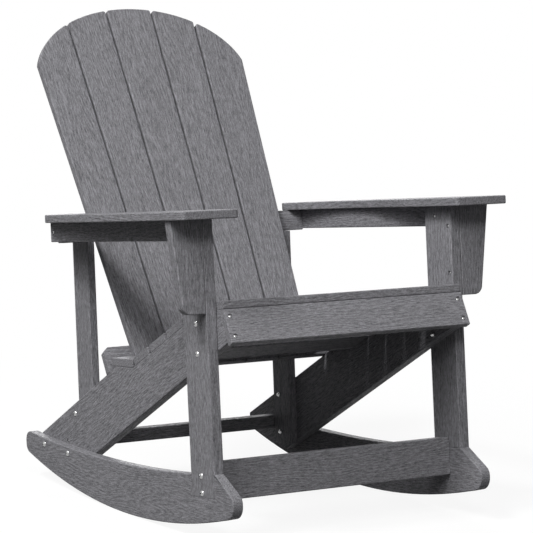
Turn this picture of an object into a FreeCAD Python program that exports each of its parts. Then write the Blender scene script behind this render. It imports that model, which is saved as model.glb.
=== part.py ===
# Rocking adirondack chair, built from separate boards and metal fasteners.
# The boards are drawn with the front legs upright and the sitter facing -Y, with
# the sitter's right on -X. The finished chair is then leaned back to the angle at
# which its weight rests over the curve of the rockers, and set down on Z = 0.
import FreeCAD, Part
import math
import os

# Board stock
frame_board = 23.0          # thickness of legs, rockers, seat rails and stretchers
slat_board = 17.0           # thickness of slats, posts, arms and braces
arris = 2.5                 # radius of the eased edges
mortar = 1.0                # clearance beside a board that slides between two others

# Legs and rockers
leg_span = 600.0            # outer face of one leg to outer face of the other
leg_width = 94.0
leg_foot = 64.0             # height of the foot of the half-lapped leg tongue
rocker_radius = 1754.0      # curve that touches the floor
rocker_low = 272.0          # lowest point of that curve, behind the leg's front edge
rocker_top_radius = 4200.0  # shallower curve of the upper edge
rocker_top_low = 260.0
rocker_depth = 105.0        # height of the upper edge at its lowest point
rocker_nose = 71.0          # reach in front of the legs
rocker_nose_fall = 31.0     # slope of the nose below the legs' front edge, in degrees
rocker_nose_round = 20.0
rocker_toe_round = 27.0     # lower corner of the nose
rocker_tail = 866.0         # rear end, behind the legs' front edge
rocker_tail_round = 20.0
stretcher_low = 55.0        # underside of the front stretcher
stretcher_setback = 39.5    # its front face, behind the front of the legs
stretcher_height = 77.5

# Seat rails
rail_width = 131.0
rail_slope = 23.0           # fall of the rail towards the rear, in degrees
rail_mid_y = 500.0          # a point of the rail's middle line
rail_mid_z = 211.0
rail_end = 830.0            # rear end of the rail
rail_inset = 22.0           # the rail's underside stays this far inside the rocker

# Seat
seat_slope = 21.8           # fall of the seat towards the rear, in degrees
front_slat_slope = 4.6
ledge_cut = 32.0            # depth of the flat ledge in the rail, for the board behind the seat
ledge_front = 371.0
seat_slat_width = 70.0
seat_slat_gap = 10.0
seat_slat_count = 4         # slats on the slope, behind the wider front slat
front_slat_width = 90.5
front_slat_round = 3.0      # rounded nose of the front slat
apron_tilt = 24.5           # lean of the apron from upright, in degrees
apron_width = 71.0
apron_reach = 1.0           # the apron stands this far in front of the front slat's nose

# Arms
arm_height = 626.0          # upper face of the armrests
arm_inset = 25.0            # inner edge of an armrest, inside the inner face of the leg
arm_width = 124.5
arm_rear_width = 87.0
arm_front = 63.0            # reach in front of the legs
arm_parallel = 320.0        # the outer edge tapers behind this
arm_corner = 8.0
arm_rear_round = 55.0       # outer corner at the rear
arm_hollow = 36.0           # the inner edge curves outwards by this much behind the sitter's elbow
arm_hollow_start = 130.0
arm_hollow_deepest = 415.0
arm_hollow_left = 9.0       # what is left of that curve at the rear end
arm_hollow_round = 60.0     # softened corner where the curve starts
arm_rail_height = 42.0
arm_overhang = 8.0          # the armrest passes its rail by this much at the rear
bracket_height = 184.0
bracket_top = 71.0
bracket_foot = 48.0
bracket_round = 18.0
crossbar_height = 45.0
crossbar_bevel = 10.0       # depth that is planed off its upper edge

# Rear posts and rear stretcher
post_board = 18.5
post_backing = 25.2         # depth of a post behind the crossbar, at the arm
post_width = 71.0
post_foot = 84.0
post_lean = 1.0             # forward lean of the posts against the legs, in degrees
rear_stretcher_height = 30.0
rear_stretcher_tilt = 13.4  # it stands square to the rocker below it
rear_stretcher_low = 115.5

# Back
back_slope = 26.5           # lean of the back from upright, in degrees
back_ref_y = 613.6          # front face of the back at the height back_ref_z
back_ref_z = 600.0
back_half_width = 233.0     # half width of the back at that height
back_taper = 0.06           # half width gained for each unit of height up the slope
back_splits = (-1.0, -0.61, -0.215, 0.215, 0.61, 1.0)   # slat edges as shares of the half width
back_slat_gap = 5.0
back_foot = 342.0           # length of the back below the reference height
crown_low = 361.0           # middle of the elliptical crown above the reference height
crown_rise = 178.0
crown_margin = 9.3          # the crown's ellipse is this much wider at its middle than the back
back_slat_corner = 5.0
brace_rise = 57.0           # height of the lower back brace up the slope
brace_corner = 10.0
batten_low = 270.0          # underside of the upper batten above the reference height
batten_height = 62.0
batten_margin = 34.0        # it stops this far inside the edges of the back

# Fasteners
bolt_shank = 3.0            # radius
bolt_head = 6.3
bolt_dome = 3.8
bolt_socket = 2.2
socket_share = 0.6          # depth of a hexagon socket against the height of its dome
nut_radius = 5.6
nut_length = 8.0
nut_shoulder = 0.7          # a cap nut keeps its full radius for this share of its length
screw_shank = 2.0
screw_head = 4.2
screw_dome = 2.2
screw_socket = 1.2
screw_bite = 22.0           # depth of a screw in the board that it holds
thin_bite = 12.0            # the same in a thin board
flush_depth = 0.3           # countersunk heads lie this far below the face
sink_radius = 5.2           # pocket round a sunk head
sink_depth = 2.6
bore_clearance = 0.15

# Places of the fasteners
lap_bolt_rises = (18.0, 52.0)       # above the underside of the front stretcher
leg_bolt_y = 44.5
leg_bolt_rises = (13.0, 72.0)       # above the underside of the rail
rail_bolt_setback = 40.5            # bolts through rocker, rail and post, behind the post's front face
tail_bolt_margin = 60.0             # in front of the rear end of the rail
rocker_bolt_margin = 13.3           # below the upper edge of the rocker
post_bolt_margin = 22.8             # below the upper edge of the rail
apron_screw_margin = 14.5
front_slat_screws = (10.0, 45.0)    # from the rear edge, clear of the leg bolts and apron screws
seat_slat_screws = (17.5, 52.5)
arm_screw_y = 60.0                  # screw from the leg into the arm rail
arm_rail_screws = (235.0, 423.0)    # screws from the armrest into the arm rail
bracket_screw_margin = 46.0         # lower screw, above the foot of the bracket
brace_screw_rise = 31.0             # above the feet of the back slats

# Densities for finding where the chair comes to rest, in grams per cubic millimetre
lumber_density = 0.00092
steel_density = 0.00785

# Heights and faces that follow from the sizes above
leg_outer = leg_span / 2
leg_inner = leg_outer - frame_board
rail_inner = leg_inner - frame_board
post_inner = rail_inner - post_board
arm_under = arm_height - slat_board
back_tan = math.tan(math.radians(back_slope))
rail_tan = math.tan(math.radians(rail_slope))
rail_half = rail_width / 2 / math.cos(math.radians(rail_slope))
post_tan = math.tan(math.radians(post_lean))
crossbar_low = arm_under - crossbar_height
arm_rail_low = arm_under - arm_rail_height
arm_inner = leg_inner - arm_inset
crown_reach = back_half_width + back_taper * crown_low + crown_margin
slat_end = leg_inner - mortar

X = FreeCAD.Vector(1, 0, 0)
Y = FreeCAD.Vector(0, 1, 0)
Z = FreeCAD.Vector(0, 0, 1)
sides = {"right": -1, "left": 1}

nodes = {}                  # node name to list of solids
boards = []                 # names of nodes that are drilled
bores = []                  # solids that drill them


def vec(x, y, z):
    return FreeCAD.Vector(x, y, z)


def prism(points, along):
    """Solid with the given corners, extruded along a vector."""
    return Part.Face(Part.makePolygon(points + points[:1])).extrude(along)


def hexagon(radius, height):
    """Key that cuts a hexagon socket."""
    turns = [math.radians(60 * i) for i in range(6)]
    return prism([vec(radius * math.cos(turn), radius * math.sin(turn), 0) for turn in turns], Z * height)


def single(shape):
    """The only solid of a shape."""
    if len(shape.Solids) != 1:
        print("shape has", len(shape.Solids), "solids")
    return shape.Solids[0]


def ease(solid, normal, radius=arris):
    """Round the edges that run round the two faces square to the normal."""
    picked = [edge for edge in solid.Edges
              if abs((edge.Vertexes[-1].Point - edge.Vertexes[0].Point).dot(normal)) < 0.01]
    return single(solid.makeFillet(radius, picked))


def round_corners(solid, along, places, radius):
    """Round the edges that run along a direction through the given points."""
    picked = [edge for edge in solid.Edges
              if (edge.Vertexes[-1].Point - edge.Vertexes[0].Point).cross(along).Length < 0.01
              and any(edge.distToShape(Part.Vertex(place))[0] < 0.01 for place in places)]
    return single(solid.makeFillet(radius, picked))


def side_board(profile, inner, outer, side):
    """Board in an upright fore-and-aft plane, from its corners in Y and Z."""
    corners = [vec(side * inner, y, z) for y, z in profile]
    return prism(corners, X * side * (outer - inner))


def cross_board(profile, half_length):
    """Board across the chair, from the corners of its section in Y and Z."""
    corners = [vec(-half_length, y, z) for y, z in profile]
    return prism(corners, X * 2 * half_length)


def add_board(name, solid):
    nodes[name] = [solid]
    boards.append(name)


# Lines of the design in Y and Z
def rail_top(y):
    return rail_mid_z + rail_half - (y - rail_mid_y) * rail_tan


def rail_bottom(y):
    return rail_mid_z - rail_half - (y - rail_mid_y) * rail_tan


def back_front(z):
    return back_ref_y + (z - back_ref_z) * back_tan


def back_rear(z):
    return back_front(z) + slat_board / math.cos(math.radians(back_slope))


# The crossbar bears on the rear of the back just below the arms, and the posts pass behind it
crossbar_front = back_rear(arm_under) - crossbar_bevel
crossbar_rear = crossbar_front + frame_board
post_front = crossbar_rear + post_backing - post_width + (arm_under - post_foot) * post_tan


def post_face(z, step=0.0):
    """Front face of a post at a height, or a plane behind it."""
    return post_front + step - (z - post_foot) * post_tan


def crossing(point, direction, other, other_direction):
    """Point where two lines in the Y-Z plane meet."""
    dy = other[0] - point[0]
    dz = other[1] - point[1]
    det = direction[0] * other_direction[1] - direction[1] * other_direction[0]
    step = (dy * other_direction[1] - dz * other_direction[0]) / det
    return (point[0] + direction[0] * step, point[1] + direction[1] * step)


def direction(degrees):
    """Fore-and-aft direction that falls towards the rear."""
    return (math.cos(math.radians(degrees)), -math.sin(math.radians(degrees)))


def shifted(point, heading, step):
    return (point[0] + heading[0] * step, point[1] + heading[1] * step)


def square_to(heading):
    """Upward direction square to a fore-and-aft direction."""
    return (-heading[1], heading[0])


# The seat runs forward from the ledge, and breaks to a flatter front slat
seat_run = direction(seat_slope)
seat_up = square_to(seat_run)
front_run = direction(front_slat_slope)
front_up = square_to(front_run)
ledge_height = rail_top(ledge_front) - ledge_cut
seat_start = (ledge_front, ledge_height)
seat_pitch = seat_slat_width + seat_slat_gap
seat_break = shifted(seat_start, seat_run, -(seat_slat_count * seat_pitch + seat_slat_gap / 2))
nose_under = shifted(seat_break, front_run, -(front_slat_width + seat_slat_gap / 2))

# Faces of the apron, whose top meets the front slat's underside
apron_down = (-math.sin(math.radians(apron_tilt)), -math.cos(math.radians(apron_tilt)))
apron_in = (-apron_down[1], apron_down[0])
apron_top = shifted(nose_under, front_run, -apron_reach)
apron_foot = shifted(apron_top, apron_down, apron_width)
apron_rear = shifted(apron_top, apron_in, slat_board)
rail_nose_top = crossing(apron_rear, apron_down, seat_break, front_run)
rail_nose_foot = crossing(apron_rear, apron_down, (rail_mid_y, rail_bottom(rail_mid_y)),
                          direction(rail_slope))


def rocker_curve(radius, low_y, low_z, y):
    """Height of an arc that is lowest at low_y."""
    return low_z + radius - math.sqrt(radius ** 2 - (y - low_y) ** 2)


def floor_curve(y):
    return rocker_curve(rocker_radius, rocker_low, 0, y)


def rocker_crest(y):
    return rocker_curve(rocker_top_radius, rocker_top_low, rocker_depth, y)


def make_rocker(side):
    nose_fall = math.tan(math.radians(rocker_nose_fall))
    x = side * leg_inner
    nose_top = vec(x, -rocker_nose, rocker_crest(0) - rocker_nose * nose_fall)
    nose_foot = vec(x, -rocker_nose, floor_curve(-rocker_nose))
    tail_foot = vec(x, rocker_tail, floor_curve(rocker_tail))
    tail_top = vec(x, rocker_tail, rocker_crest(rocker_tail))
    leg_edge = vec(x, 0, rocker_crest(0))
    low = vec(x, rocker_low, 0)
    crest = vec(x, rocker_top_low, rocker_depth)
    outline = Part.Wire([
        Part.Arc(nose_foot, low, tail_foot).toShape(),
        Part.LineSegment(tail_foot, tail_top).toShape(),
        Part.Arc(tail_top, crest, leg_edge).toShape(),
        Part.LineSegment(leg_edge, nose_top).toShape(),
        Part.LineSegment(nose_top, nose_foot).toShape()])
    solid = Part.Face(outline).extrude(X * side * frame_board)
    solid = round_corners(solid, X, [tail_foot, tail_top], rocker_tail_round)
    solid = round_corners(solid, X, [nose_top], rocker_nose_round)
    solid = round_corners(solid, X, [nose_foot], rocker_toe_round)
    solid = ease(solid, X)
    # The leg's tongue lies in a recess in the outer face
    lap = frame_board / 2
    recess = Part.makeBox(lap, leg_width, arm_under, vec(0, 0, leg_foot))
    recess.translate(vec(leg_outer - lap if side > 0 else -leg_outer, 0, 0))
    return single(solid.cut(recess))


def make_leg(side):
    whole = side_board([(0, leg_foot), (leg_width, leg_foot), (leg_width, arm_under), (0, arm_under)],
                       leg_inner, leg_outer, side)
    whole = ease(whole, X)
    # The inner half of the foot is cut away to stand on the rocker's upper edge
    steps = 12
    crest = [(leg_width * i / steps, rocker_crest(leg_width * i / steps)) for i in range(steps + 1)]
    waste = crest[::-1] + [(0, 0), (leg_width, 0)]
    waste = side_board(waste, leg_inner, leg_outer - frame_board / 2, side)
    return single(whole.cut(waste))


def make_rail(side):
    heading = direction(rail_slope)
    ledge_rear = crossing((0, ledge_height), (1, 0), (rail_mid_y, rail_top(rail_mid_y)), heading)
    profile = [rail_nose_foot, rail_nose_top, seat_break, seat_start, ledge_rear,
               (rail_end, rail_top(rail_end)), (rail_end, rail_bottom(rail_end))]
    solid = side_board(profile, rail_inner, leg_inner, side)
    # The rear end stays inside the rocker's curve
    reach = Part.makeCylinder(rocker_radius - rail_inset, leg_span,
                              vec(-leg_outer, rocker_low, rocker_radius), X)
    return ease(single(solid.common(reach)), X)


def make_post(side):
    profile = [(post_face(post_foot), post_foot), (post_face(post_foot, post_width), post_foot),
               (post_face(arm_under, post_width), arm_under), (crossbar_rear, arm_under),
               (crossbar_rear, crossbar_low), (post_face(crossbar_low), crossbar_low)]
    return ease(side_board(profile, post_inner, rail_inner, side), X)


def make_bracket(side):
    low = arm_under - bracket_height
    corners = [vec(side * leg_outer, 0, low), vec(side * leg_outer, 0, arm_under),
               vec(side * (leg_outer + bracket_top), 0, arm_under),
               vec(side * (leg_outer + bracket_foot), 0, low)]
    solid = prism(corners, Y * frame_board)
    solid = round_corners(solid, Y, [corners[3]], bracket_round)
    return ease(solid, Y)


def make_armrest(side):
    rear = crossbar_rear + arm_overhang
    outer = arm_inner + arm_width
    front_inner = vec(side * arm_inner, -arm_front, arm_under)
    hollow_start = vec(side * arm_inner, arm_hollow_start, arm_under)
    hollow = vec(side * (arm_inner + arm_hollow), arm_hollow_deepest, arm_under)
    rear_inner = vec(side * (arm_inner + arm_hollow_left), rear, arm_under)
    rear_outer = vec(side * (arm_inner + arm_rear_width), rear, arm_under)
    widest = vec(side * outer, arm_parallel, arm_under)
    front_outer = vec(side * outer, -arm_front, arm_under)
    outline = Part.Wire([
        Part.LineSegment(front_inner, hollow_start).toShape(),
        Part.Arc(hollow_start, hollow, rear_inner).toShape(),
        Part.LineSegment(rear_inner, rear_outer).toShape(),
        Part.LineSegment(rear_outer, widest).toShape(),
        Part.LineSegment(widest, front_outer).toShape(),
        Part.LineSegment(front_outer, front_inner).toShape()])
    solid = Part.Face(outline).extrude(Z * slat_board)
    solid = round_corners(solid, Z, [front_inner, rear_inner, front_outer], arm_corner)
    solid = round_corners(solid, Z, [rear_outer], arm_rear_round)
    solid = round_corners(solid, Z, [hollow_start], arm_hollow_round)
    return ease(solid, Z)


def make_cross_plank(start, heading, up, width, thickness, half_length):
    """Plank across the chair whose underside starts at a point and runs forward."""
    front = shifted(start, heading, -width)
    profile = [start, front, shifted(front, up, thickness), shifted(start, up, thickness)]
    return cross_board(profile, half_length)


def ease_length(solid, radius=arris):
    """Round the edges that run across the chair."""
    picked = [edge for edge in solid.Edges
              if (edge.Vertexes[-1].Point - edge.Vertexes[0].Point).cross(X).Length < 0.01]
    return single(solid.makeFillet(radius, picked))


# Side boards
for name, side in sides.items():
    add_board("rocker_" + name, make_rocker(side))
    add_board("front_leg_" + name, make_leg(side))
    add_board("seat_rail_" + name, make_rail(side))
    add_board("rear_post_" + name, make_post(side))
    add_board("arm_bracket_" + name, make_bracket(side))
    add_board("armrest_" + name, make_armrest(side))
    arm_rail = side_board([(frame_board, arm_rail_low), (crossbar_rear, arm_rail_low),
                           (crossbar_rear, arm_under), (frame_board, arm_under)],
                          leg_outer, leg_outer + slat_board, side)
    add_board("arm_rail_" + name, ease(arm_rail, X))

# Seat slats, numbered from the front
front_slat = make_cross_plank(shifted(seat_break, front_run, -seat_slat_gap / 2), front_run, front_up,
                              front_slat_width, slat_board, slat_end)
nose_over = shifted(nose_under, front_up, slat_board)
front_slat = round_corners(front_slat, X, [vec(0, *nose_under), vec(0, *nose_over)], front_slat_round)
add_board("seat_slat_1", front_slat)
for count in range(seat_slat_count):
    start = shifted(seat_start, seat_run, -(seat_slat_gap + count * seat_pitch))
    slat = make_cross_plank(start, seat_run, seat_up, seat_slat_width, slat_board, slat_end)
    add_board("seat_slat_%d" % (seat_slat_count + 1 - count), ease_length(slat))

# Board on the ledge behind the seat, up to the face of the back
ledge_rear = back_front(ledge_height)
ledge_board = [(ledge_front, ledge_height), (ledge_rear, ledge_height),
               (ledge_rear, ledge_height + slat_board), (ledge_front, ledge_height + slat_board)]
add_board("seat_end_board", ease_length(cross_board(ledge_board, leg_inner)))

# Apron, screwed to the cut ends of the rails
apron_rear_foot = shifted(apron_foot, apron_in, slat_board)
apron = cross_board([apron_foot, apron_top, rail_nose_top, apron_rear_foot], leg_inner)
add_board("seat_apron", ease_length(apron))

# Stretchers
stretcher_rear = stretcher_setback + frame_board
stretcher_mid = stretcher_setback + frame_board / 2
front_stretcher = cross_board([(stretcher_setback, stretcher_low), (stretcher_rear, stretcher_low),
                               (stretcher_rear, stretcher_low + stretcher_height),
                               (stretcher_setback, stretcher_low + stretcher_height)], leg_inner)
add_board("front_stretcher", ease_length(front_stretcher))
lean_in = (math.cos(math.radians(rear_stretcher_tilt)), math.sin(math.radians(rear_stretcher_tilt)))
lean_down = (lean_in[1], -lean_in[0])
stretcher_top = (post_face(post_foot, post_width) + mortar / 2,
                 rear_stretcher_low + rear_stretcher_height * lean_in[0])
rear_profile = [stretcher_top, shifted(stretcher_top, lean_in, slat_board)]
rear_profile += [shifted(point, lean_down, rear_stretcher_height) for point in rear_profile[::-1]]
add_board("rear_stretcher", ease_length(cross_board(rear_profile, rail_inner)))

# Crossbar in the notches of the posts, planed at the front to the slope of the back
bevel_foot = back_ref_z + (crossbar_front - back_rear(back_ref_z)) / back_tan
crossbar = [(crossbar_front, crossbar_low), (crossbar_front, bevel_foot),
            (back_rear(arm_under), arm_under), (crossbar_rear, arm_under), (crossbar_rear, crossbar_low)]
add_board("arm_crossbar", cross_board(crossbar, leg_outer))

# Back slats, numbered from the sitter's right
back_slat_count = len(back_splits) - 1
up_back = vec(0, math.sin(math.radians(back_slope)), math.cos(math.radians(back_slope)))
behind = vec(0, math.cos(math.radians(back_slope)), -math.sin(math.radians(back_slope)))
back_origin = vec(0, back_ref_y, back_ref_z)


def on_back(x, height, depth=0.0):
    """Point of the back from its place across, up the slope and behind the front face."""
    return back_origin + X * x + up_back * height + behind * depth


def back_edge(share, height):
    """Distance from the middle of a line that splits the back's width."""
    return share * (back_half_width + back_taper * height)


crown = Part.Ellipse(on_back(crown_reach, crown_low), on_back(0, crown_low + crown_rise),
                     on_back(0, crown_low))


def crown_meet(share, gap):
    """Angle round the crown and height at which a slat's edge meets it."""
    height = crown_low
    for _ in range(200):
        reach = (back_edge(share, height) + gap) / crown_reach
        height = (height + crown_low + crown_rise * math.sqrt(1 - min(abs(reach), 1) ** 2)) / 2
    return math.acos(reach), height


def make_back_slat(index):
    share_a = back_splits[index]
    share_b = back_splits[index + 1]
    gap_a = 0 if index == 0 else back_slat_gap / 2
    gap_b = 0 if index == back_slat_count - 1 else -back_slat_gap / 2
    foot_a = on_back(back_edge(share_a, -back_foot) + gap_a, -back_foot)
    foot_b = on_back(back_edge(share_b, -back_foot) + gap_b, -back_foot)
    turn_a, top_a = crown_meet(share_a, gap_a)
    turn_b, top_b = crown_meet(share_b, gap_b)
    top = Part.ArcOfEllipse(crown, turn_b, turn_a)
    corner_a = top.EndPoint
    corner_b = top.StartPoint
    outline = Part.Wire([
        Part.LineSegment(foot_a, foot_b).toShape(),
        Part.LineSegment(foot_b, corner_b).toShape(),
        top.toShape(),
        Part.LineSegment(corner_a, foot_a).toShape()])
    solid = Part.Face(outline).extrude(behind * slat_board)
    solid = round_corners(solid, behind, [corner_a, corner_b], back_slat_corner)
    return ease(solid, behind)


for index in range(back_slat_count):
    add_board("back_slat_%d" % (index + 1), make_back_slat(index))

# Brace behind the feet of the back slats, cut to stand on the seat rails
rail_heading = direction(rail_slope)
rail_line = (rail_mid_y, rail_top(rail_mid_y))
back_heading = (up_back.y, up_back.z)
through_brace = (behind.y, behind.z)
back_foot_line = (back_rear(0), 0)
brace_front = crossing(back_foot_line, back_heading, rail_line, rail_heading)
brace_back = crossing(shifted(back_foot_line, through_brace, slat_board), back_heading,
                      rail_line, rail_heading)
brace_top = shifted(brace_front, back_heading, brace_rise)
brace_profile = [brace_front, brace_top, shifted(brace_top, through_brace, slat_board), brace_back]
brace = cross_board(brace_profile, leg_inner)
for side in sides.values():
    end = vec(side * leg_inner, *brace_top)
    corner = [end, end - X * side * brace_corner, end - up_back * brace_corner]
    brace = single(brace.cut(prism(corner, behind * slat_board)))
add_board("lower_back_brace", brace)

# Batten behind the upper part of the back
batten_high = batten_low + batten_height
low_half = back_edge(1, batten_low) - batten_margin
high_half = back_edge(1, batten_high) - batten_margin
batten_corners = [on_back(-low_half, batten_low, slat_board), on_back(low_half, batten_low, slat_board),
                  on_back(high_half, batten_high, slat_board), on_back(-high_half, batten_high, slat_board)]
batten = prism(batten_corners, behind * slat_board)
add_board("upper_back_batten", ease(batten, behind))


# Fasteners
def turned(profile, at, along):
    """Solid of revolution from radius and distance pairs, set at a point."""
    face = Part.Face(Part.makePolygon([vec(r, 0, z) for r, z in profile + profile[:1]]))
    solid = face.revolve(vec(0, 0, 0), Z, 360)
    solid.Placement = FreeCAD.Placement(at, FreeCAD.Rotation(Z, along))
    return solid


def dome(radius, height, steps=8):
    """Points over a low dome, from its rim to its middle."""
    ball = (radius ** 2 + height ** 2) / 2 / height
    reach = math.asin(radius / ball)
    turns = [reach * (1 - i / steps) for i in range(steps + 1)]
    return [(ball * math.sin(turn), height - ball * (1 - math.cos(turn))) for turn in turns]


def head_on(radius, height, shank, length):
    """Profile of a domed fastener whose head sits on the face at zero."""
    points = [(max(r, 0), -z) for r, z in dome(radius, height)]
    return [(0, length), (shank, length), (shank, 0)] + points


def domed(at, along, length, shank, head, height, socket):
    """Domed fastener with a hexagon socket, and its bore."""
    body = turned(head_on(head, height, shank, length), at, along)
    key = hexagon(socket, height)
    key_start = at - along * height * (2 - socket_share)
    key.Placement = FreeCAD.Placement(key_start, FreeCAD.Rotation(Z, along))
    bore = Part.makeCylinder(shank + bore_clearance, length, at, along)
    return single(body.cut(key)), bore


def add_flush_screw(node, at, along, length):
    """Countersunk screw whose head lies just below the face."""
    rim = at + along * flush_depth
    neck = screw_head - screw_shank
    body = turned([(0, 0), (screw_head, 0), (screw_shank, neck), (screw_shank, length), (0, length)],
                  rim, along)
    key = hexagon(screw_socket, neck)
    key.Placement = FreeCAD.Placement(rim, FreeCAD.Rotation(Z, along))
    wide = screw_head + bore_clearance
    narrow = screw_shank + bore_clearance
    sink = turned([(0, -flush_depth), (wide, -flush_depth), (wide, 0), (narrow, neck), (narrow, length),
                   (0, length)], rim, along)
    nodes.setdefault(node, []).append(single(body.cut(key)))
    bores.append(sink)


def add_bolt(node, at, along, grip, nut_node=None):
    """Bolt with its head at a point, and a cap nut where it comes out."""
    end = grip + (nut_length / 2 if nut_node else 0)
    body, bore = domed(at, along, end, bolt_shank, bolt_head, bolt_dome, bolt_socket)
    nodes.setdefault(node, []).append(body)
    bores.append(bore)
    if nut_node:
        seat = at + along * grip
        cap = [(nut_radius * nut_shoulder, nut_length), (nut_radius, nut_length * nut_shoulder),
               (nut_radius, 0)]
        nut = turned([(0, nut_length)] + cap + [(bolt_shank, 0), (bolt_shank, nut_length / 2),
                                                (0, nut_length / 2)], seat, along)
        nodes.setdefault(nut_node, []).append(nut)


def add_screw(node, at, along, length):
    body, bore = domed(at, along, length, screw_shank, screw_head, screw_dome, screw_socket)
    nodes.setdefault(node, []).append(body)
    bores.append(bore)


def add_sunk_screw(node, at, along, length):
    """Domed screw whose head lies in a pocket of the face."""
    body, bore = domed(at + along * sink_depth, along, length - sink_depth, screw_shank, screw_head,
                       screw_dome, screw_socket)
    nodes.setdefault(node, []).append(body)
    bores.append(bore.fuse(Part.makeCylinder(sink_radius, sink_depth, at, along)))


def lumber_screw(node, at, along, passes):
    """Sunk screw that passes one board and bites into the next."""
    add_sunk_screw(node, at, along, passes + screw_bite)


tail_bolt_y = rail_end - tail_bolt_margin
rail_bolt_y = post_front + rail_bolt_setback
tail_bolt = (tail_bolt_y, rocker_crest(tail_bolt_y) - rocker_bolt_margin)
rail_bolt = (rail_bolt_y, rocker_crest(rail_bolt_y) - rocker_bolt_margin)
post_bolt = (rail_bolt_y, rail_top(rail_bolt_y) - post_bolt_margin)
rail_centre = (leg_inner + rail_inner) / 2
arm_rail_middle = arm_under - arm_rail_height / 2
bracket_foot_height = arm_under - bracket_height
crossbar_middle = arm_under - crossbar_height / 2
stretcher_end = shifted(shifted(stretcher_top, lean_in, slat_board / 2), lean_down,
                        rear_stretcher_height / 2)

for side in sides.values():
    inward = X * -side
    outward = X * side
    # Front leg to seat rail, and leg tongue to rocker and front stretcher
    for rise in leg_bolt_rises:
        add_bolt("leg_bolts", vec(side * leg_outer, leg_bolt_y, rail_bottom(leg_bolt_y) + rise), inward,
                 2 * frame_board, "leg_bolt_nuts")
    for rise in lap_bolt_rises:
        add_bolt("rocker_bolts", vec(side * leg_outer, stretcher_mid, stretcher_low + rise), inward,
                 3 * frame_board)
    # Rocker to seat rail at the tail, then rocker, rail and post, then rail and post
    add_bolt("tail_bolts", vec(side * leg_outer, *tail_bolt), inward, 2 * frame_board, "tail_bolt_nuts")
    add_bolt("post_bolts", vec(side * leg_outer, *rail_bolt), inward, 2 * frame_board + post_board,
             "post_bolt_nuts")
    add_bolt("post_bolts", vec(side * leg_inner, *post_bolt), inward, frame_board + post_board,
             "post_bolt_nuts")
    # Apron to the cut ends of the rails
    for step in (apron_screw_margin, apron_width - apron_screw_margin):
        place = shifted(apron_top, apron_down, step)
        lumber_screw("apron_screws", vec(side * rail_centre, *place), vec(0, *apron_in), slat_board)
    # Arm rail and bracket, held through the leg, and arm rail to crossbar
    add_sunk_screw("arm_rail_screws", vec(side * leg_inner, arm_screw_y, arm_rail_middle), outward,
                   frame_board + thin_bite)
    lumber_screw("arm_rail_screws", vec(side * (leg_outer + slat_board), crossbar_front + frame_board / 2,
                                        arm_rail_middle), inward, slat_board)
    for height in (arm_rail_low, bracket_foot_height + bracket_screw_margin):
        lumber_screw("bracket_screws", vec(side * leg_inner, frame_board / 2, height), outward, frame_board)
    # Armrest to leg, bracket, arm rail and crossbar, from above
    arm_spots = [(leg_inner + frame_board / 2, leg_width / 2)]
    arm_spots.append((leg_outer + bracket_top / 2, frame_board / 2))
    arm_spots += [(leg_outer + slat_board / 2, y) for y in arm_rail_screws]
    arm_spots.append((leg_inner, crossbar_rear - frame_board / 4))
    for x, y in arm_spots:
        add_flush_screw("armrest_screws", vec(side * x, y, arm_height), -Z, slat_board + screw_bite)
    # Crossbar, from behind the posts
    behind_post = vec(side * (post_inner + rail_inner) / 2, post_face(crossbar_middle, post_width),
                      crossbar_middle)
    into_post = vec(0, -math.cos(math.radians(post_lean)), -math.sin(math.radians(post_lean)))
    add_screw("crossbar_screws", behind_post, into_post, behind_post.y - crossbar_rear + thin_bite)
    # Rear stretcher and ledge board
    lumber_screw("stretcher_screws", vec(side * leg_inner, *stretcher_end), inward, frame_board)
    add_flush_screw("ledge_screws", vec(side * rail_centre, ledge_front + seat_slat_width / 2,
                                        ledge_height + slat_board), -Z, slat_board + screw_bite)

# Seat slat screws, two to each end
seat_tops = [(shifted(seat_break, front_run, -seat_slat_gap / 2), front_run, front_up, front_slat_screws)]
for count in range(seat_slat_count):
    start = shifted(seat_start, seat_run, -(seat_slat_gap + count * seat_pitch))
    seat_tops.append((start, seat_run, seat_up, seat_slat_screws))
for start, heading, up, steps in seat_tops:
    for step in steps:
        place = shifted(shifted(start, heading, -step), up, slat_board)
        for side in sides.values():
            add_flush_screw("seat_slat_screws", vec(side * rail_centre, *place), vec(0, -up[0], -up[1]),
                            slat_board + screw_bite)

# Back slat screws, driven from behind through brace, batten and crossbar
for index in range(back_slat_count):
    share = (back_splits[index] + back_splits[index + 1]) / 2
    half_share = (back_splits[index + 1] - back_splits[index]) / 2
    for height in (brace_screw_rise - back_foot, (batten_low + batten_high) / 2):
        middle = back_edge(share, height)
        spread = back_edge(half_share, height) / 2
        for offset in (-spread, spread):
            add_screw("back_slat_screws", on_back(middle + offset, height, 2 * slat_board), -behind,
                      slat_board + thin_bite)
    bevel_middle = (bevel_foot + arm_under) / 2
    height = (bevel_middle - back_ref_z) / math.cos(math.radians(back_slope))
    add_screw("crossbar_slat_screws", vec(back_edge(share, height), crossbar_rear, bevel_middle), -Y,
              frame_board - crossbar_bevel / 2 + thin_bite)

# Every board is drilled for the fasteners that reach it
for name in boards:
    solid = nodes[name][0]
    near = [bore for bore in bores if bore.BoundBox.intersect(solid.BoundBox)]
    near = [bore for bore in near if bore.distToShape(solid)[0] < 0.001]
    if near:
        nodes[name] = [single(solid.cut(near))]

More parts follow.
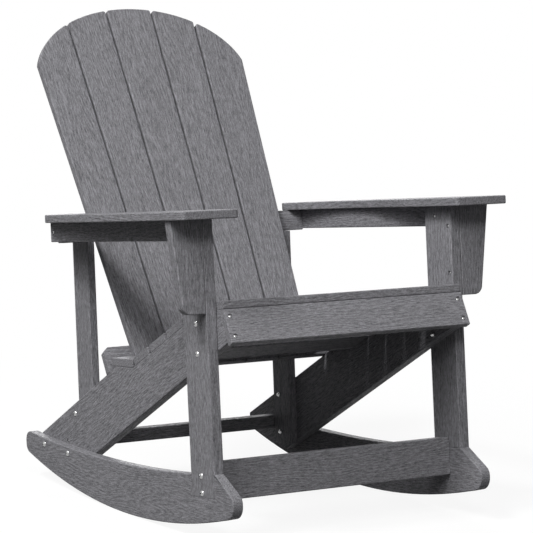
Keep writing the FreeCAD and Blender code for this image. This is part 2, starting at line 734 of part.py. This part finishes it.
# The chair comes to rest with its weight over the centre of the rockers' curve
total = 0.0
moment_y = 0.0
moment_z = 0.0
for name, solids in nodes.items():
    density = lumber_density if name in boards else steel_density
    for solid in solids:
        mass = solid.Volume * density
        middle = solid.CenterOfMass
        total += mass
        moment_y += mass * middle.y
        moment_z += mass * middle.z
weight_y = moment_y / total
weight_z = moment_z / total
lean = math.degrees(math.atan2(weight_y - rocker_low, rocker_radius - weight_z))
print("mass %.2f kg, weight at y %.1f z %.1f, lean %.2f degrees" % (total / 1000, weight_y, weight_z, lean))

rest = FreeCAD.Placement(vec(0, 0, 0), FreeCAD.Rotation(X, -lean))
foot = rest.multVec(vec(0, rocker_low, rocker_radius))
for solids in nodes.values():
    for solid in solids:
        solid.Placement = rest.multiply(solid.Placement)
everything = Part.makeCompound([solid for solids in nodes.values() for solid in solids])
box = everything.optimalBoundingBox(False)
shift = vec(0, -(box.YMin + box.YMax) / 2, rocker_radius - foot.z)
print("size %.1f x %.1f x %.1f" % (box.XLength, box.YLength, box.ZMax + shift.z))
print("square frame origin is moved by y %.3f z %.3f" % (shift.y, shift.z))

os.makedirs("parts", exist_ok=True)
for name, solids in nodes.items():
    for solid in solids:
        solid.translate(shift)
    shape = solids[0] if len(solids) == 1 else Part.makeCompound(solids)
    if not shape.isValid():
        print("invalid", name)
    shape.exportStep("parts/" + name + ".step")
print(len(nodes), "nodes,", sum(len(solids) for solids in nodes.values()), "solids")
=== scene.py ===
import bpy
import bmesh
import math
import random
from mathutils import Matrix, Vector


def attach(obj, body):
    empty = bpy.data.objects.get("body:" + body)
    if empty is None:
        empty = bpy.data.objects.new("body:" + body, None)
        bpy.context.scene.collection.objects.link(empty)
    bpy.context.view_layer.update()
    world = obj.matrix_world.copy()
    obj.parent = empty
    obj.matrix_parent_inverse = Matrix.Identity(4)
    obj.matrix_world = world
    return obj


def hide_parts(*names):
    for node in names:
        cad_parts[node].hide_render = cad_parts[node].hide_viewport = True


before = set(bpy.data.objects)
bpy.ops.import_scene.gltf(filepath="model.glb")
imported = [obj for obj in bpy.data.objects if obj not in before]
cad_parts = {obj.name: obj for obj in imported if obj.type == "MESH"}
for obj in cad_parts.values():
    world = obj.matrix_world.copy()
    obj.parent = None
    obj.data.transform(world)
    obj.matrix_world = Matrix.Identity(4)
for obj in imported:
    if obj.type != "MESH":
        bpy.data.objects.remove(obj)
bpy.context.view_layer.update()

# The chair leans back on its rockers, so its boards run along leaned directions
rest = {"lean": 4.88, "shiftY": -0.445275, "shiftZ": 0.029479}
leanTurn = Matrix.Rotation(-math.radians(rest["lean"]), 3, "X")
restShift = Vector((0, rest["shiftY"], rest["shiftZ"]))


def leaned(x, y, z):
    return leanTurn @ Vector((x, y, z))


def slopeUp(degrees):
    return leaned(0, math.sin(math.radians(degrees)), math.cos(math.radians(degrees)))


def slopeFace(degrees):
    return leaned(0, -math.cos(math.radians(degrees)), math.sin(math.radians(degrees)))


def selectOnly(*pieces):
    for thing in list(bpy.context.selected_objects):
        thing.select_set(False)
    for piece in pieces:
        piece.select_set(True)
    if pieces:
        bpy.context.view_layer.objects.active = pieces[0]


selectOnly()
weldDistance = 0.00002      # metres
smoothAngle = math.radians(35)
print("frame loaded")

# Plastic lumber with an embossed wood grain. Amounts are shares of the tone, scales are per metre
lumber = {
    "tone": (0.202, 0.200, 0.213),
    "roughness": 0.52, "roughnessVaries": 0.16, "ior": 1.45, "specular": 0.08,
    "pores": {"run": 70.0, "across": 430.0, "detail": 3.0, "amount": 1.9},
    "specks": {"run": 240.0, "across": 650.0, "detail": 2.0, "amount": 1.3},
    "streaks": {"run": 9.0, "across": 120.0, "detail": 4.0, "amount": 0.28},
    "clouds": {"run": 5.0, "across": 14.0, "detail": 3.0, "amount": 0.14},
    "rings": {"run": 2.2, "across": 11.0, "detail": 2.0, "count": 20.0, "perMetre": 150.0,
              "amount": 0.55},
    "breakUp": 0.6, "grainStrength": 0.45, "grainDepth": 0.0009, "grainSwing": 0.5,
    "patternSpread": 9.0,       # how far apart the boards are cut from the pattern, in metres
    "easedEdge": 0.0012, "sharpAngle": math.radians(42), "flatAngle": math.radians(0.4),
    "boreFacet": 4.5e-5,        # faces up to this, in square metres, are taken for bores
}


def addNode(tree, kind, place, **values):
    node = tree.nodes.new(kind)
    node.location = place
    for key, value in values.items():
        if key in node.inputs:
            node.inputs[key].default_value = value
        else:
            setattr(node, key, value)
    return node


def grainCoordinates(tree, along, face, offset):
    along = along.normalized()
    face = (face - along * face.dot(along)).normalized()
    across = face.cross(along)
    place = addNode(tree, "ShaderNodeTexCoord", (-1500, 0))
    turn = addNode(tree, "ShaderNodeMapping", (-1300, 0))
    turn.inputs["Rotation"].default_value = Matrix((along, across, face)).to_euler("XYZ")
    turn.inputs["Location"].default_value = offset
    tree.links.new(place.outputs["Object"], turn.inputs["Vector"])
    return turn.outputs["Vector"]


def stretched(tree, source, scale, place):
    node = addNode(tree, "ShaderNodeVectorMath", place, operation="MULTIPLY")
    node.inputs[1].default_value = scale
    tree.links.new(source, node.inputs[0])
    return node.outputs["Vector"]


def math2(tree, operation, a, b, place):
    node = addNode(tree, "ShaderNodeMath", place, operation=operation)
    for socket, value in zip(node.inputs, (a, b)):
        if hasattr(value, "is_linked"):
            tree.links.new(value, socket)
        else:
            socket.default_value = value
    return node.outputs[0]


def grainNoise(tree, vector, layer, height):
    noise = addNode(tree, "ShaderNodeTexNoise", (-900, height), Scale=1.0, Detail=layer["detail"],
                    Roughness=lumber["breakUp"])
    scale = (layer["run"], layer["across"], layer["across"])
    tree.links.new(stretched(tree, vector, scale, (-1100, height)), noise.inputs["Vector"])
    return noise.outputs["Fac"]


def addGrain(tree, grain, vector, layer, height):
    noise = grainNoise(tree, vector, layer, height)
    swing = math2(tree, "SUBTRACT", noise, 0.5, (-600, height))
    swing = math2(tree, "MULTIPLY", swing, layer["amount"], (-450, height))
    return math2(tree, "ADD", grain, swing, (-250, height))


def addRings(tree, vector, layer):
    rings = grainNoise(tree, vector, layer, 600)
    rings = math2(tree, "MULTIPLY", rings, layer["count"], (-700, 600))
    parts = addNode(tree, "ShaderNodeSeparateXYZ", (-1100, 800))
    tree.links.new(vector, parts.inputs["Vector"])
    beside = math2(tree, "ADD", parts.outputs["Y"], parts.outputs["Z"], (-900, 800))
    beside = math2(tree, "MULTIPLY", beside, layer["perMetre"], (-700, 800))
    rings = math2(tree, "ADD", rings, beside, (-620, 700))
    for operation, value, place in (("FRACT", 0.0, -550), ("SUBTRACT", 0.5, -400),
                                    ("ABSOLUTE", 0.0, -250), ("SUBTRACT", 0.25, -100),
                                    ("MULTIPLY", layer["amount"], 50)):
        rings = math2(tree, operation, rings, value, (place, 600))
    return rings


def makeLumber(name, along, face, offset):
    look = bpy.data.materials.new(name)
    look.use_nodes = True
    tree = look.node_tree
    tree.nodes.clear()
    link = tree.links.new
    vector = grainCoordinates(tree, along, face, offset)

    # Growth rings are lines along the board, bent into arches by a slow field
    grain = addRings(tree, vector, lumber["rings"])
    for layer, height in (("pores", 300), ("specks", 50), ("streaks", -200)):
        grain = addGrain(tree, grain, vector, lumber[layer], height)
    tone = addGrain(tree, grain, vector, lumber["clouds"], -450)
    tone = math2(tree, "ADD", tone, 1.0, (150, 300))
    colour = addNode(tree, "ShaderNodeVectorMath", (300, 300), operation="SCALE")
    colour.inputs[0].default_value = lumber["tone"]
    link(tone, colour.inputs["Scale"])

    rough = addNode(tree, "ShaderNodeMapRange", (150, 0))    # raised grain is polished by use
    rough.inputs["From Min"].default_value = -lumber["grainSwing"]
    rough.inputs["From Max"].default_value = lumber["grainSwing"]
    rough.inputs["To Min"].default_value = lumber["roughness"] + lumber["roughnessVaries"]
    rough.inputs["To Max"].default_value = lumber["roughness"] - lumber["roughnessVaries"] / 2
    link(grain, rough.inputs["Value"])

    bump = addNode(tree, "ShaderNodeBump", (200, -200), Strength=lumber["grainStrength"],
                   Distance=lumber["grainDepth"])
    link(grain, bump.inputs["Height"])
    surface = addNode(tree, "ShaderNodeBsdfPrincipled", (450, 200))
    surface.inputs["IOR"].default_value = lumber["ior"]
    surface.inputs["Specular IOR Level"].default_value = lumber["specular"]
    link(colour.outputs["Vector"], surface.inputs["Base Color"])
    link(rough.outputs["Result"], surface.inputs["Roughness"])
    link(bump.outputs["Normal"], surface.inputs["Normal"])
    output = addNode(tree, "ShaderNodeOutputMaterial", (750, 200))
    link(surface.outputs["BSDF"], output.inputs["Surface"])
    return look


# Slopes of the boards in degrees, before the chair leans
slopes = {"rail": 23.0, "seat": 21.8, "frontSlat": 4.6, "back": 26.5, "apron": 24.5, "post": 1.0}
acrossChair = Vector((1, 0, 0))
frontways = leaned(0, -1, 0)
rearways = leaned(0, 1, 0)
upright = leaned(0, 0, 1)
railRun = -slopeFace(slopes["rail"])
seatUp = slopeUp(slopes["seat"])
frontSlatUp = slopeUp(slopes["frontSlat"])
backUp = slopeUp(slopes["back"])
backFace = slopeFace(slopes["back"])
apronFace = slopeFace(slopes["apron"])
postRun = slopeUp(-slopes["post"])
postFace = slopeFace(-slopes["post"])
fan = {"back_slat_1": -0.048, "back_slat_2": -0.025, "back_slat_3": 0.0, "back_slat_4": 0.025,
       "back_slat_5": 0.048}    # how far each back slat spreads per metre of its height

# Grain runs along each board: direction of its length, then of its broad face
boardRuns = {
    "rocker": (rearways, acrossChair),
    "front_leg": (upright, acrossChair),
    "seat_rail": (railRun, acrossChair),
    "rear_post": (postRun, acrossChair),
    "arm_bracket": (upright, frontways),
    "arm_rail": (rearways, acrossChair),
    "armrest": (rearways, upright),
    "seat_slat_1": (acrossChair, frontSlatUp),
    "seat_slat": (acrossChair, seatUp),
    "seat_end_board": (acrossChair, upright),
    "seat_apron": (acrossChair, apronFace),
    "front_stretcher": (acrossChair, frontways),
    "rear_stretcher": (acrossChair, frontways),
    "arm_crossbar": (acrossChair, frontways),
    "lower_back_brace": (acrossChair, backFace),
    "upper_back_batten": (acrossChair, backFace),
}


def boardRun(node):
    if node in fan:
        return backUp + acrossChair * fan[node], backFace
    for name in sorted(boardRuns, key=len, reverse=True):
        if node.startswith(name):
            return boardRuns[name]
    return None


def useModifier(piece, kind, **values):
    modifier = piece.modifiers.new(kind.lower(), kind)
    for key, value in values.items():
        setattr(modifier, key, value)
    selectOnly(piece)
    bpy.ops.object.modifier_apply(modifier=modifier.name)


# Boards keep their solids' shape, with the sharp edges eased as on the real lumber
def easedBoard(node):
    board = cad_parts[node]
    piece = board.copy()
    piece.data = board.data.copy()
    piece.name = node + "_eased"
    bpy.context.scene.collection.objects.link(piece)
    selectOnly(piece)
    bpy.ops.object.mode_set(mode="EDIT")
    bpy.ops.mesh.select_mode(type="VERT")
    bpy.ops.mesh.select_all(action="SELECT")
    bpy.ops.mesh.remove_doubles(threshold=weldDistance)
    bpy.ops.mesh.dissolve_limited(angle_limit=lumber["flatAngle"])
    shape = bmesh.from_edit_mesh(piece.data)
    weight = shape.edges.layers.float.new("bevel_weight_edge")
    for edge in shape.edges:    # rims of bores have small facets and stay sharp
        sharp = len(edge.link_faces) == 2 and edge.calc_face_angle(0) > lumber["sharpAngle"]
        if sharp and min(face.calc_area() for face in edge.link_faces) > lumber["boreFacet"]:
            edge[weight] = 1.0
    bmesh.update_edit_mesh(piece.data)
    bpy.ops.object.mode_set(mode="OBJECT")
    useModifier(piece, "BEVEL", width=lumber["easedEdge"], segments=2, limit_method="WEIGHT",
                use_clamp_overlap=False)
    bpy.ops.object.shade_smooth_by_angle(angle=smoothAngle)
    useModifier(piece, "WEIGHTED_NORMAL", keep_sharp=True, weight=100)    # broad faces stay flat
    return piece


chance = random.Random(7)
spread = lumber["patternSpread"]
for node in sorted(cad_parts):
    run = boardRun(node)
    if run is None or "screws" in node or "bolt" in node:
        continue
    offset = Vector([chance.uniform(-spread, spread) for axis in range(3)])
    look = makeLumber("lumber_" + node, *run, offset)
    piece = easedBoard(node)
    piece.data.materials.clear()
    piece.data.materials.append(look)
    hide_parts(node)
    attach(piece, "root")
print("lumber dressed")

# Stainless steel
steel = {
    "tone": (0.46, 0.46, 0.46), "scuffed": (0.28, 0.28, 0.28), "blend": (0.3, 0.7),
    "roughness": (0.16, 0.34), "scuffs": {"Scale": 900.0, "Detail": 4.0, "Roughness": 0.6},
    "scuffDepth": 0.0001, "scuffStrength": 0.3,
}


def makeSteel(name):
    look = bpy.data.materials.new(name)
    look.use_nodes = True
    tree = look.node_tree
    surface = tree.nodes["Principled BSDF"]
    place = addNode(tree, "ShaderNodeTexCoord", (-900, 0))
    scuffs = addNode(tree, "ShaderNodeTexNoise", (-650, 0), **steel["scuffs"])
    tree.links.new(place.outputs["Object"], scuffs.inputs["Vector"])
    tone = addNode(tree, "ShaderNodeValToRGB", (-400, 150))
    for stop, position, shade in zip(tone.color_ramp.elements, steel["blend"],
                                     (steel["scuffed"], steel["tone"])):
        stop.position = position
        stop.color = (*shade, 1)
    tree.links.new(scuffs.outputs["Fac"], tone.inputs["Fac"])
    tree.links.new(tone.outputs["Color"], surface.inputs["Base Color"])
    rough = addNode(tree, "ShaderNodeMapRange", (-400, -150))
    rough.inputs["To Min"].default_value = steel["roughness"][0]
    rough.inputs["To Max"].default_value = steel["roughness"][1]
    tree.links.new(scuffs.outputs["Fac"], rough.inputs["Value"])
    tree.links.new(rough.outputs["Result"], surface.inputs["Roughness"])
    bump = addNode(tree, "ShaderNodeBump", (-200, -300), Strength=steel["scuffStrength"],
                   Distance=steel["scuffDepth"])
    tree.links.new(scuffs.outputs["Fac"], bump.inputs["Height"])
    tree.links.new(bump.outputs["Normal"], surface.inputs["Normal"])
    surface.inputs["Metallic"].default_value = 1.0
    return look


steelLook = makeSteel("bright_steel")

# Bolts, screws and cap nuts, each modelled once with its head up and its seat at the origin
bolt = {"radius": 0.0063, "dome": 0.0038, "shank": 0.0030, "rim": 0.0003,
        "socket": 0.0022, "socketDepth": 0.0024}
screw = {"radius": 0.0042, "dome": 0.0022, "shank": 0.0020, "rim": 0.0003,
         "socket": 0.0013, "socketDepth": 0.0014}
flushScrew = {"radius": 0.0042, "cone": 0.0022, "shank": 0.0020, "rim": 0.0002,
              "socket": 0.0014, "socketDepth": 0.0012}
capNut = {"radius": 0.0055, "base": 0.0036, "dome": 0.0043, "height": 0.0079, "rim": 0.0003}
shankLength = 0.010     # until a copy is placed in its bore


def selectFaces(piece, chosen):
    bpy.ops.object.mode_set(mode="EDIT")
    bpy.ops.mesh.select_mode(type="FACE")
    bpy.ops.mesh.select_all(action="DESELECT")
    shape = bmesh.from_edit_mesh(piece.data)
    for face in shape.faces:
        face.select_set(chosen(face))
    bmesh.update_edit_mesh(piece.data)


def facesDown(face):
    return face.normal.z < -0.99


def easeRim(piece, width):
    useModifier(piece, "BEVEL", width=width, segments=2, limit_method="ANGLE",
                angle_limit=math.radians(50))


def cutSocket(piece, radius, top, depth):
    bpy.ops.mesh.primitive_cylinder_add(vertices=6, radius=radius, depth=depth * 2, location=(0, 0, top))
    key = bpy.context.object
    bpy.ops.object.transform_apply(location=True)
    useModifier(piece, "BOOLEAN", operation="DIFFERENCE", object=key, solver="EXACT")
    bpy.data.objects.remove(key)


def makeDomed(name, sizes):
    ball = (sizes["radius"] ** 2 + sizes["dome"] ** 2) / 2 / sizes["dome"]
    bpy.ops.mesh.primitive_uv_sphere_add(segments=32, ring_count=28, radius=ball,
                                         location=(0, 0, sizes["dome"] - ball))
    piece = bpy.context.object
    piece.name = name
    bpy.ops.object.transform_apply(location=True)
    bpy.ops.object.mode_set(mode="EDIT")
    bpy.ops.mesh.select_all(action="SELECT")
    bpy.ops.mesh.bisect(plane_co=(0, 0, 0), plane_no=(0, 0, 1), use_fill=True, clear_inner=True)
    selectFaces(piece, facesDown)
    bpy.ops.mesh.inset(thickness=sizes["radius"] - sizes["shank"])
    bpy.ops.mesh.extrude_region_move(TRANSFORM_OT_translate={"value": (0, 0, -shankLength)})
    bpy.ops.object.mode_set(mode="OBJECT")
    easeRim(piece, sizes["rim"])
    cutSocket(piece, sizes["socket"], sizes["dome"], sizes["socketDepth"])
    return finishFastener(piece)


def makeFlush(name, sizes):
    bpy.ops.mesh.primitive_cone_add(vertices=32, radius1=sizes["shank"], radius2=sizes["radius"],
                                    depth=sizes["cone"], location=(0, 0, -sizes["cone"] / 2))
    piece = bpy.context.object
    piece.name = name
    bpy.ops.object.transform_apply(location=True)
    selectFaces(piece, facesDown)
    down = sizes["cone"] - shankLength
    bpy.ops.mesh.extrude_region_move(TRANSFORM_OT_translate={"value": (0, 0, down)})
    bpy.ops.object.mode_set(mode="OBJECT")
    easeRim(piece, sizes["rim"])
    cutSocket(piece, sizes["socket"], 0, sizes["socketDepth"])
    return finishFastener(piece)


def makeCapNut(name, sizes):
    bpy.ops.mesh.primitive_cylinder_add(vertices=6, radius=sizes["radius"], depth=sizes["base"],
                                        location=(0, 0, sizes["base"] / 2))
    piece = bpy.context.object
    piece.name = name
    bpy.ops.object.transform_apply(location=True)
    easeRim(piece, sizes["rim"])
    bpy.ops.mesh.primitive_uv_sphere_add(segments=32, ring_count=16, radius=sizes["dome"],
                                         location=(0, 0, sizes["height"] - sizes["dome"]))
    cap = bpy.context.object
    bpy.ops.object.transform_apply(location=True)
    useModifier(piece, "BOOLEAN", operation="UNION", object=cap, solver="EXACT")
    bpy.data.objects.remove(cap)
    return finishFastener(piece)


def finishFastener(piece):
    selectOnly(piece)
    bpy.ops.object.shade_smooth_by_angle(angle=smoothAngle)
    piece.data.materials.clear()
    piece.data.materials.append(steelLook)
    return piece


def solidsOf(node):
    shape = bmesh.new()
    shape.from_mesh(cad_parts[node].data)
    bmesh.ops.remove_doubles(shape, verts=shape.verts, dist=weldDistance)
    left = set(shape.verts)
    solids = []
    for first in shape.verts:
        if first not in left:
            continue
        left.discard(first)
        reached = [first]       # grows while it is walked, until the whole solid is in it
        for vert in reached:
            for edge in vert.link_edges:
                other = edge.other_vert(vert)
                if other in left:
                    left.discard(other)
                    reached.append(other)
        solids.append([vert.co.copy() for vert in reached])
    shape.free()
    return sorted(solids, key=middleOf)


def middleOf(points):
    return tuple(round(sum(point[axis] for point in points) / len(points), 4) for axis in range(3))


def reachAlong(points, axis):
    reach = [point.dot(axis) for point in points]
    return min(reach), max(reach)


def inward(points):
    return Vector((-1, 0, 0)) if points[0].x > 0 else Vector((1, 0, 0))


def outward(points):
    return -inward(points)


def armRailDrive(points):
    return inward(points) if points[0].y > 0 else outward(points)


frontSlatEnd = -0.42    # the screws of the front slat lie before this line


def slatDrive(points):
    isFront = min(point.y for point in points) < frontSlatEnd
    return -frontSlatUp if isFront else -seatUp


def towards(direction):
    return lambda points: direction


# How each group is driven: its pattern and the way from its head into the boards
fasteners = {
    "leg_bolts": ("bolt", inward),
    "rocker_bolts": ("bolt", inward),
    "tail_bolts": ("bolt", inward),
    "post_bolts": ("bolt", inward),
    "leg_bolt_nuts": ("capNut", inward),
    "tail_bolt_nuts": ("capNut", inward),
    "post_bolt_nuts": ("capNut", inward),
    "apron_screws": ("screw", towards(-apronFace)),
    "arm_rail_screws": ("screw", armRailDrive),
    "bracket_screws": ("screw", outward),
    "stretcher_screws": ("screw", inward),
    "crossbar_screws": ("screw", towards(postFace)),
    "back_slat_screws": ("screw", towards(backFace)),
    "crossbar_slat_screws": ("screw", towards(frontways)),
    "armrest_screws": ("flushScrew", towards(-upright)),
    "ledge_screws": ("flushScrew", towards(-upright)),
    "seat_slat_screws": ("flushScrew", slatDrive),
}
patterns = {
    "bolt": makeDomed("boltPattern", bolt),
    "screw": makeDomed("screwPattern", screw),
    "flushScrew": makeFlush("flushPattern", flushScrew),
    "capNut": makeCapNut("nutPattern", capNut),
}


def placeCopy(pattern, kind, points, along, angle):
    one = along.orthogonal().normalized()
    two = along.cross(one)
    start, end = reachAlong(points, along)
    centre = one * (sum(reachAlong(points, one)) / 2) + two * (sum(reachAlong(points, two)) / 2)
    copy = pattern.copy()
    copy.data = pattern.data.copy()
    bpy.context.scene.collection.objects.link(copy)
    facing = along
    if kind != "capNut":
        facing = -along
        # A head is widest where it meets the board, and its shank reaches as deep as the bore
        rim = max(points, key=lambda point: (point - along * point.dot(along) - centre).length)
        start = rim.dot(along)
        for vert in copy.data.vertices:
            if vert.co.z < -shankLength / 2:
                vert.co.z -= end - start - shankLength
    place = facing.to_track_quat("Z", "Y").to_matrix().to_4x4()
    place.translation = centre + along * start
    copy.data.transform(place @ Matrix.Rotation(angle, 4, "Z"))
    return copy


spin = random.Random(11)
for node, (kind, drive) in fasteners.items():
    copies = [placeCopy(patterns[kind], kind, points, drive(points).normalized(),
                        spin.uniform(0, math.radians(60))) for points in solidsOf(node)]
    selectOnly(*copies)
    bpy.ops.object.join()
    piece = bpy.context.object
    piece.name = node + "_detailed"
    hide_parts(node)
    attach(piece, "root")
for pattern in patterns.values():
    bpy.data.objects.remove(pattern)
selectOnly()
print("fasteners placed")

# A floor and backdrop that look white but throw little light back on the chair
stage = {
    "floorSize": 60.0, "floorTone": 0.07, "seenTone": 0.95, "glow": 0.90,
    "clearFrom": 0.9, "clearTo": 2.2, "ambient": 0.015,
}


# 1 for what is seen directly, in metal or through glass, and 0 for the light on the chair
def onlySeen(tree, place):
    path = addNode(tree, "ShaderNodeLightPath", place)
    seen = math2(tree, "MAXIMUM", path.outputs["Is Camera Ray"], path.outputs["Is Glossy Ray"],
                 (place[0] + 200, place[1]))
    return math2(tree, "MAXIMUM", seen, path.outputs["Is Transmission Ray"], (place[0] + 400, place[1]))


bpy.ops.mesh.primitive_plane_add(size=stage["floorSize"], location=(0, 0, 0))
floor = bpy.context.object
floor.name = "floor"
floorLook = bpy.data.materials.new("pale_floor")
floorLook.use_nodes = True
floorTree = floorLook.node_tree
floorTree.nodes.clear()
matte = addNode(floorTree, "ShaderNodeBsdfDiffuse", (0, 200))
seen = onlySeen(floorTree, (-800, 300))
shade = math2(floorTree, "MULTIPLY", seen, stage["seenTone"] - stage["floorTone"], (-400, 250))
shade = math2(floorTree, "ADD", shade, stage["floorTone"], (-200, 250))     # bounced light stays low
floorTree.links.new(shade, matte.inputs["Color"])
glow = addNode(floorTree, "ShaderNodeEmission", (0, 0), Strength=1.0)
spot = addNode(floorTree, "ShaderNodeTexCoord", (-1000, 700))
away = addNode(floorTree, "ShaderNodeVectorMath", (-800, 700), operation="LENGTH")
floorTree.links.new(spot.outputs["Object"], away.inputs[0])
clear = addNode(floorTree, "ShaderNodeMapRange", (-600, 700))   # shadows fade out away from the chair
clear.interpolation_type = "SMOOTHSTEP"
clear.inputs["From Min"].default_value = stage["clearFrom"]
clear.inputs["From Max"].default_value = stage["clearTo"]
clear.inputs["To Min"].default_value = stage["glow"]
clear.inputs["To Max"].default_value = 1.0
floorTree.links.new(away.outputs["Value"], clear.inputs["Value"])
share = math2(floorTree, "MULTIPLY", seen, clear.outputs["Result"], (0, 400))
blend = addNode(floorTree, "ShaderNodeMixShader", (250, 200))
floorTree.links.new(share, blend.inputs["Fac"])
floorTree.links.new(matte.outputs["BSDF"], blend.inputs[1])
floorTree.links.new(glow.outputs["Emission"], blend.inputs[2])
floorOut = addNode(floorTree, "ShaderNodeOutputMaterial", (500, 200))
floorTree.links.new(blend.outputs["Shader"], floorOut.inputs["Surface"])
floor.data.materials.append(floorLook)

world = bpy.data.worlds.new("studio")
bpy.context.scene.world = world
world.use_nodes = True
worldTree = world.node_tree
worldTree.nodes.clear()
soft = addNode(worldTree, "ShaderNodeBackground", (0, 200), Strength=stage["ambient"])
soft.inputs["Color"].default_value = (1, 1, 1, 1)
white = addNode(worldTree, "ShaderNodeBackground", (0, 0), Strength=1.0)
white.inputs["Color"].default_value = (1, 1, 1, 1)
worldMix = addNode(worldTree, "ShaderNodeMixShader", (250, 200))
worldTree.links.new(onlySeen(worldTree, (-800, 300)), worldMix.inputs["Fac"])
worldTree.links.new(soft.outputs["Background"], worldMix.inputs[1])
worldTree.links.new(white.outputs["Background"], worldMix.inputs[2])
worldOut = addNode(worldTree, "ShaderNodeOutputWorld", (500, 200))
worldTree.links.new(worldMix.outputs["Shader"], worldOut.inputs["Surface"])

# Lamps stand around the chair, in metres and watts
lamps = {
    "key": {"toward": (-0.56, -0.10, 0.82), "distance": 8.0, "size": 1.5, "power": 385.0},
    "leftSoftbox": {"toward": (-0.65, -0.35, 0.68), "distance": 7.0, "size": 1.9, "power": 101.0},
    "frontSoftbox": {"toward": (-0.35, -0.75, 0.60), "distance": 7.0, "size": 1.9, "power": 172.0},
    "leftFill": {"toward": (-0.75, -0.35, 0.60), "distance": 7.0, "size": 3.1, "power": 106.0},
    "lowFill": {"toward": (-0.30, -0.95, 0.15), "distance": 7.0, "size": 3.1, "power": 36.0},
    "backFill": {"toward": (0.40, 0.85, 0.35), "distance": 4.5, "size": 2.0, "power": 100.0},
}
target = Vector((0, 0, 0.5))    # the middle of the chair
for name, lamp in lamps.items():
    light = bpy.data.lights.new(name, "AREA")
    light.shape = "DISK"
    light.size = lamp["size"]
    light.energy = lamp["power"]
    holder = bpy.data.objects.new(name, light)
    bpy.context.scene.collection.objects.link(holder)
    toward = Vector(lamp["toward"]).normalized()
    holder.location = target + toward * lamp["distance"]
    holder.rotation_euler = toward.to_track_quat("Z", "Y").to_euler()
print("lights set")

# The camera, before the chair leans: its place is from the floor between the legs' front edges
shot = {
    "place": (-2.66845, -4.34803, 0.67418), "turn": -29.972, "rise": 1.878, "roll": -2.6255,
    "focalPixels": 2563.94, "picturePixels": 533, "sensor": 36,
}
turn = math.radians(shot["turn"])
rise = math.radians(shot["rise"])
roll = math.radians(shot["roll"])
back = Vector((math.sin(turn) * math.cos(rise), -math.cos(turn) * math.cos(rise), math.sin(rise)))
right = Vector((math.cos(turn), math.sin(turn), 0))
up = back.cross(right)
viewRight = right * math.cos(roll) + up * math.sin(roll)
viewUp = up * math.cos(roll) - right * math.sin(roll)
axes = [leanTurn @ axis for axis in (viewRight, viewUp, back)]
cameraData = bpy.data.cameras.new("camera")
cameraData.lens = shot["focalPixels"] / shot["picturePixels"] * shot["sensor"]
cameraData.sensor_width = shot["sensor"]
cameraData.clip_end = 100
camera = bpy.data.objects.new("camera", cameraData)
bpy.context.scene.collection.objects.link(camera)
pose = Matrix(axes).transposed().to_4x4()
pose.translation = leaned(*shot["place"]) + restShift
camera.matrix_world = pose
bpy.context.scene.camera = camera
bpy.context.scene.view_settings.view_transform = "Standard"
print("camera set")
